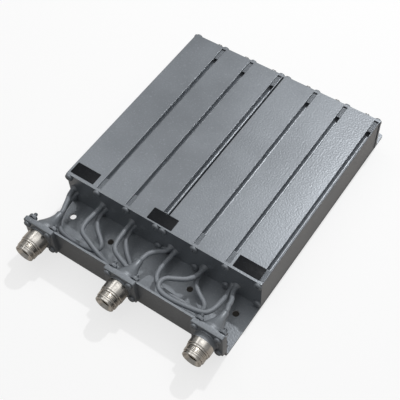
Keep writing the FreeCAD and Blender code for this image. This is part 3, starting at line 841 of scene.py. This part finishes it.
class SolderOperator(bpy.types.Operator):
    """Build the painted solder round the jumpers' entries in the front plate"""
    bl_idname = "duplexer.solder"
    bl_label = "Solder"

    def execute(self, context):
        wire = context.scene.duplexer_wiring
        inner = wire.jumper_radius * 0.94
        foot = wire.jumper_radius + 0.05 * MM
        rise = wire.solder_radius - wire.jumper_radius
        slope = [(foot + rise * (1 - t) ** 2, -wire.solder_length * t)
                 for t in [i / 5 for i in range(6)]]
        stations = [(inner, 0.5 * MM), (wire.solder_radius, 0.5 * MM), *slope,
                    (inner, -wire.solder_length)]
        lumps = []
        for cavity in range(len(ROD_XS)):
            for entry in range(2):
                lump = turned(stations, segments=24, closed=True)
                edit(lump)
                bpy.ops.transform.vertex_random(offset=0.12 * MM, seed=2 * cavity + entry)
                done()
                place = entry_place(cavity, entry)
                lumps.append(moved(lump, (place.x, PLATE_FACE_Y, place.z)))
        whole = joined(lumps)
        smooth(whole, 60)
        piece(whole, "entry_solder", cable_paint)
        return {"FINISHED"}


def cross_recess(span, width, depth, top_y):
    """Tapered cross that cuts a driver recess into a head whose top is at top_y, looking along -Y."""
    cross = block((width, 2 * depth, width), (0, top_y, 0))
    edit(cross)
    pick(cross, "faces", lambda face: abs(face.normal.y) < 0.5)
    bpy.ops.mesh.extrude_faces_move(TRANSFORM_OT_shrink_fatten={"value": (span - width) / 2})
    pick(cross, "faces", lambda face: face.normal.y > 0.5)
    bpy.ops.transform.resize(value=(0.5, 1, 0.5), center_override=(0, top_y + depth, 0))
    done()
    return cross


def pan_head_stations(radius, height):
    """Stations of a domed head from its seat at y 0 to its top at -height."""
    return [(radius, 0.0), (radius, -0.38 * height), (0.965 * radius, -0.6 * height),
            (0.84 * radius, -0.8 * height), (0.6 * radius, -0.94 * height), (0.3 * radius, -height)]


def plate_screw(sizes):
    """Pan-head screw on the Y axis: head towards -Y, threads towards +Y."""
    root = sizes.shank_radius - 0.3 * MM
    reach = sizes.shank_reach
    shank = [(0.55 * root, reach), (root, reach - 0.7 * MM), (root, 0.0)]
    body = turned(shank + pan_head_stations(sizes.head_radius, sizes.head_height), segments=24)
    recess = (sizes.recess_span, sizes.recess_width, sizes.recess_depth)
    carve(body, cross_recess(*recess, -sizes.head_height))
    turns = int((reach - 2.6 * MM) / sizes.shank_pitch)
    ridge = thread(sizes.shank_radius, 0.34 * MM, sizes.shank_pitch, 1.9 * MM, turns, steps=16)
    whole = joined([body, ridge])
    smooth(whole, 40)
    return whole


# How far each column of plate screws stands from the first, in mm. The blocks' top grooves run along
# all the columns but the first and the one that starts the second block.
SCREW_COLUMNS = (0, 26, 52, 78, 84, 110, 136, 162)
GROOVE_COLUMNS = (26, 52, 78, 110, 136, 162)


def column_xs(sizes, columns):
    """Where columns stand, measured between the outermost heads of the frame's screws."""
    low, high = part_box("front_plate_screws")
    first = low.x + sizes.head_radius
    span = high.x - low.x - 2 * sizes.head_radius
    return [first + column / SCREW_COLUMNS[-1] * span for column in columns]


class PlateScrewOperator(bpy.types.Operator):
    """Model the pan-head screws that hold the front and rear plates"""
    bl_idname = "duplexer.plate_screws"
    bl_label = "Plate screws"

    def execute(self, context):
        sizes = context.scene.duplexer_fasteners
        low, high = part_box("front_plate_screws")
        rows = (low.z + sizes.head_radius, high.z - sizes.head_radius)
        for name, face_y, turn in (("front", PLATE_FACE_Y, 0.0), ("rear", REAR_FACE_Y, math.pi)):
            places = [((x, face_y, z), turn) for x in column_xs(sizes, SCREW_COLUMNS) for z in rows]
            whole = joined(copied(plate_screw(sizes), places))
            piece(whole, name + "_pan_heads", wiring_paint, replaces=[name + "_plate_screws"])
        return {"FINISHED"}


def hex_nut(flats, height, bore, chamfer):
    """Hexagon nut on the Y axis from its seat at y 0 to its chamfered face at height."""
    corner = flats / math.sqrt(3)
    nut = cylinder(corner, height, (0, height / 2, 0), 6)
    cone = turned([(corner + 0.02 * MM, -0.01 * MM), (corner + 0.02 * MM, height - chamfer),
                   (flats / 2, height + 0.01 * MM)], segments=48)
    carve(nut, cone, "INTERSECT")
    carve(nut, cylinder(bore, 3 * height, (0, height / 2, 0), 32))
    soften(nut, 0.12 * MM)
    smooth(nut, 30)
    return nut


class FlangeFastenerOperator(bpy.types.Operator):
    """Model the screws and nuts that hold the jacks and hoods to the lip"""
    bl_idname = "duplexer.flange_fasteners"
    bl_label = "Flange fasteners"

    def execute(self, context):
        jack = context.scene.duplexer_jack
        sizes = context.scene.duplexer_fasteners
        halves = (-jack.hole_pitch / 2, jack.hole_pitch / 2)
        centres = [(PORT_XS[side] + dx, PORT_Z + dz)
                   for side in SIDES for dx in halves for dz in halves]
        low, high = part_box("flange_screws")
        nut_low, nut_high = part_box("flange_nuts")
        front_y = FLANGE_BACK_Y - jack.flange_thickness
        reach = high.y - front_y
        root = sizes.flange_root_radius
        shank = [(0.64 * root, reach), (root, reach - 0.5 * MM), (root, 0.0)]
        body = turned(shank + pan_head_stations(sizes.flange_head_radius, front_y - low.y), segments=24)
        recess = (0.9 * sizes.recess_span, sizes.recess_width, sizes.recess_depth)
        carve(body, cross_recess(*recess, low.y - front_y))
        turns = 9
        ridge = thread(sizes.flange_shank_radius, 0.27 * MM, sizes.flange_pitch,
                       reach - 0.7 * MM - turns * sizes.flange_pitch, turns, steps=16)
        screw = joined([body, ridge])
        smooth(screw, 40)
        screws = joined(copied(screw, [((x, front_y, z), 0.0) for x, z in centres]))
        piece(screws, "flange_screw_set", wiring_paint, replaces=["flange_screws"])
        nut = hex_nut(sizes.flange_nut_flats, nut_high.y - nut_low.y, sizes.flange_nut_bore, 0.35 * MM)
        nuts = joined(copied(nut, [((x, nut_low.y, z), 0.0) for x, z in centres]))
        piece(nuts, "flange_nut_set", wiring_paint, replaces=["flange_nuts"])
        return {"FINISHED"}


class TunerOperator(bpy.types.Operator):
    """Model the six tuning screws and their lock nuts behind the rear plate"""
    bl_idname = "duplexer.tuners"
    bl_label = "Tuning screws"

    def execute(self, context):
        sizes = context.scene.duplexer_fasteners
        root = sizes.tuner_radius - 0.45 * MM
        dome = ((1.0, 1.5), (0.94, 0.8), (0.78, 0.36), (0.5, 0.1), (0.2, 0.0))
        turns = 16
        for number, x in zip(CAVITIES, ROD_XS):
            low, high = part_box("tuning_screw_%d" % number)
            end_y = high.y
            stations = [(0.9 * root, low.y), (root, low.y + 0.4 * MM)]
            stations += [(part * root, end_y - back * MM) for part, back in dome]
            body = turned(stations, segments=40)
            slot = (sizes.slot_width, 2 * sizes.slot_depth, 3 * sizes.tuner_radius)
            carve(body, block(slot, (0, end_y, 0)))
            ridge = thread(sizes.tuner_radius - 0.02 * MM, 0.5 * MM, sizes.tuner_pitch,
                           end_y - 1.9 * MM - turns * sizes.tuner_pitch, turns, steps=32)
            screw = joined([body, ridge])
            smooth(screw, 40)
            moved(screw, (x, 0, AXIS_Z))
            piece(screw, "tuner_screw_%d" % number, bright_plate, "tuner_%d" % number,
                  replaces=["tuning_screw_%d" % number])
        nut_low, nut_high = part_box("lock_nut_1")
        chamfer = 0.6 * MM
        nut = hex_nut(nut_high.z - nut_low.z, nut_high.y - nut_low.y, sizes.tuner_radius, chamfer)
        nuts = copied(nut, [((x, nut_low.y, AXIS_Z), 0.0) for x in ROD_XS])
        for number, lock in zip(CAVITIES, nuts):
            piece(lock, "tuner_nut_%d" % number, bright_plate,
                  replaces=["lock_nut_%d" % number])
        return {"FINISHED"}


class GrooveOperator(bpy.types.Operator):
    """Fill both ends of the blocks' top grooves with the painted threads of their screws"""
    bl_idname = "duplexer.grooves"
    bl_label = "Groove threads"

    def execute(self, context):
        sizes = context.scene.duplexer_fasteners
        pitch = sizes.shank_pitch
        count = int(sizes.groove_fill / pitch)
        crest_z = BLOCK_TOP - sizes.groove_depth
        rib_radius = 0.55 * pitch
        lead = math.radians(5)
        rib = begin(bpy.ops.mesh.primitive_cylinder_add, vertices=12, radius=rib_radius,
                    depth=sizes.groove_width, rotation=(0, math.pi / 2, lead),
                    location=(0, -0.5 * count * pitch, crest_z - rib_radius))
        modify(rib, "ARRAY", count=count, use_relative_offset=False, use_constant_offset=True,
               constant_offset_displace=(0, pitch, 0))
        bed = block((sizes.groove_width, count * pitch, pitch), (0, 0, crest_z - 1.2 * pitch))
        fill = joined([rib, bed])
        smooth(fill, 40)
        half = 0.5 * (count + 1) * pitch
        ends = (PLATE_BACK_Y + half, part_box("rear_plate")[0].y - half)
        places = [((x, y, 0), 0.0) for x in column_xs(sizes, GROOVE_COLUMNS) for y in ends]
        whole = joined(copied(fill, places))
        piece(whole, "groove_threads", grey_paint)
        return {"FINISHED"}


# Centres of the three pieces of tape, in mm; y is counted from the front plate's face
TAPES = {"left": (-71.1, 7.5), "middle": (-1.4, 6.2), "right": (69.4, 6.9)}


class TapeOperator(bpy.types.Operator):
    """Lay the three bare pieces of dark tape on the blocks"""
    bl_idname = "duplexer.tapes"
    bl_label = "Tapes"

    def execute(self, context):
        wire = context.scene.duplexer_wiring
        for side, (x, y) in TAPES.items():
            tape = begin(bpy.ops.mesh.primitive_plane_add, size=1,
                         scale=(wire.tape_length, wire.tape_width, 1),
                         location=(x * MM, PLATE_FACE_Y + y * MM, BLOCK_TOP))
            edit(tape)
            bpy.ops.mesh.bevel(offset=0.5 * MM, segments=3, affect="VERTICES")
            rise = (0, 0, wire.tape_thickness)
            bpy.ops.mesh.extrude_region_move(TRANSFORM_OT_translate={"value": rise})
            bpy.ops.mesh.select_all(action="SELECT")
            bpy.ops.mesh.normals_make_consistent(inside=False)
            done()
            soften(tape, 0.05 * MM, 60)
            smooth(tape, 30)
            piece(tape, "tape_" + side, black_tape)
        return {"FINISHED"}


def floor_material():
    """Near white to the camera, with the object's shadow, warm and dim in metal, and dimmer as a light.
    It has a painted shadow, near black, under the tray, but for a strip that shows pale through the
    bay's left hole."""
    finish = Finish("floor_white", roughness=0.9, specular=0.0)
    low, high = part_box("tray")
    x = finish.axis(finish.place, "X")
    y = finish.axis(finish.place, "Y")
    strip = 20 * MM
    # Painted shadow: under the tray's footprint the floor loses its glow and turns near black, but for
    # a strip at the left
    under = (x > low.x + strip) * (1 - (x > high.x - MM)) * (y > low.y + MM) * (1 - (y > high.y - MM))
    seen = finish.rays("Camera", "Transmission") * (1 - under)
    mirrored = finish.rays("Glossy")
    dark = finish.mix(rgba((0.16, 0.16, 0.16)), rgba((0.03, 0.03, 0.03)), under)
    base = finish.mix(dark, rgba((0.3, 0.3, 0.3)), seen)
    glow = finish.mix(rgba((0.01, 0.009, 0.008)), rgba((0.72, 0.72, 0.72)), seen)
    finish.set("Base Color", finish.mix(base, rgba((0.48, 0.45, 0.42)), mirrored))
    finish.set("Emission Color", finish.mix(glow, rgba((0.12, 0.11, 0.10)), mirrored))
    finish.set("Emission Strength", 1.0)
    return finish.material


def surroundings(stage):
    """A plain white room, lighter overhead than at the horizon, and white to the camera."""
    world = bpy.data.worlds.new("Surroundings")
    world.use_nodes = True
    nodes = Nodes(world.node_tree)
    height = nodes.axis(nodes.node("ShaderNodeTexCoord", output="Generated"), "Z")
    seen = nodes.rays("Camera", "Transmission")
    light = height * height * height * height * stage.overhead + stage.horizon
    light = light + nodes.rays("Glossy") * stage.mirrored
    nodes.put(nodes.tree.nodes["Background"].inputs["Strength"], light * (1 - seen) + seen)
    nodes.put(nodes.tree.nodes["Background"].inputs["Color"], (1, 1, 1, 1))
    return world


def lamp(stage, name, shape):
    """A lamp aimed at the front plate's top edge, whose light on a face towards it is its level."""
    parts = ("_slope", "_distance", "_level", "_size")
    slope, distance, level, size = [getattr(stage, name + part) for part in parts]
    towards = Vector(slope).normalized()
    aim = Vector((0, PLATE_FACE_Y, BLOCK_TOP))
    bpy.ops.object.light_add(type="AREA", location=aim + towards * distance)
    made = bpy.context.object
    made.name = name
    made.data.shape = shape
    made.data.size = size
    made.data.size_y = getattr(stage, name + "_length", size)
    made.data.energy = level * (math.pi * distance) ** 2
    made.rotation_euler = towards.to_track_quat("Z", "Y").to_euler()


class StageOperator(bpy.types.Operator):
    """Set the floor, the lamps, the surrounding light and the camera"""
    bl_idname = "duplexer.stage"
    bl_label = "Stage"

    def execute(self, context):
        stage = context.scene.duplexer_stage
        below = -0.3 * MM
        floor = begin(bpy.ops.mesh.primitive_plane_add, size=6.0, location=(0, 0, below))
        floor.name = "floor"
        floor.data.materials.append(floor_material())
        context.scene.world = surroundings(stage)
        lamp(stage, "key", "DISK")
        lamp(stage, "strip", "RECTANGLE")
        lamp(stage, "box", "RECTANGLE")
        level = math.cos(stage.elevation)
        back = Vector((math.sin(stage.azimuth) * level, -math.cos(stage.azimuth) * level,
                       math.sin(stage.elevation)))
        bpy.ops.object.camera_add(location=stage.camera_place)
        camera = context.object
        turn = back.to_track_quat("Z", "Y") @ Quaternion((0, 0, 1), stage.roll)
        camera.rotation_euler = turn.to_euler()
        camera.data.sensor_width = 36.0
        camera.data.lens = stage.lens
        camera.data.shift_x, camera.data.shift_y = stage.shift
        camera.data.clip_start = 0.01
        context.scene.camera = camera
        context.scene.view_settings.view_transform = "Standard"
        return {"FINISHED"}


OPERATORS = (StageOperator, HousingOperator, InnerOperator, JumperOperator, SolderOperator,
             HoodOperator, JackOperator, PlateScrewOperator, FlangeFastenerOperator, TunerOperator,
             GrooveOperator, TapeOperator)


class DuplexerPanel(bpy.types.Panel):
    """Sizes, colours and steps of the duplexer"""
    bl_idname = "VIEW3D_PT_duplexer"
    bl_label = "Duplexer"
    bl_space_type = "VIEW_3D"
    bl_region_type = "UI"
    bl_category = "Duplexer"

    def draw(self, context):
        for operator in OPERATORS:
            self.layout.operator(operator.bl_idname)
        for name, group in GROUPS.items():
            box = self.layout.box()
            for key in group.__annotations__:
                box.prop(getattr(context.scene, name), key)


def register():
    for kind in (*GROUPS.values(), *OPERATORS, DuplexerPanel):
        bpy.utils.register_class(kind)
    for name, group in GROUPS.items():
        setattr(bpy.types.Scene, name, bpy.props.PointerProperty(type=group))


def unregister():
    for name in GROUPS:
        delattr(bpy.types.Scene, name)
    for kind in (DuplexerPanel, *OPERATORS[::-1], *GROUPS.values()):
        bpy.utils.unregister_class(kind)


def main():
    register()
    for operator in OPERATORS:
        group, name = operator.bl_idname.split(".")
        getattr(getattr(bpy.ops, group), name)()


if __name__ == "__main__":
    main()
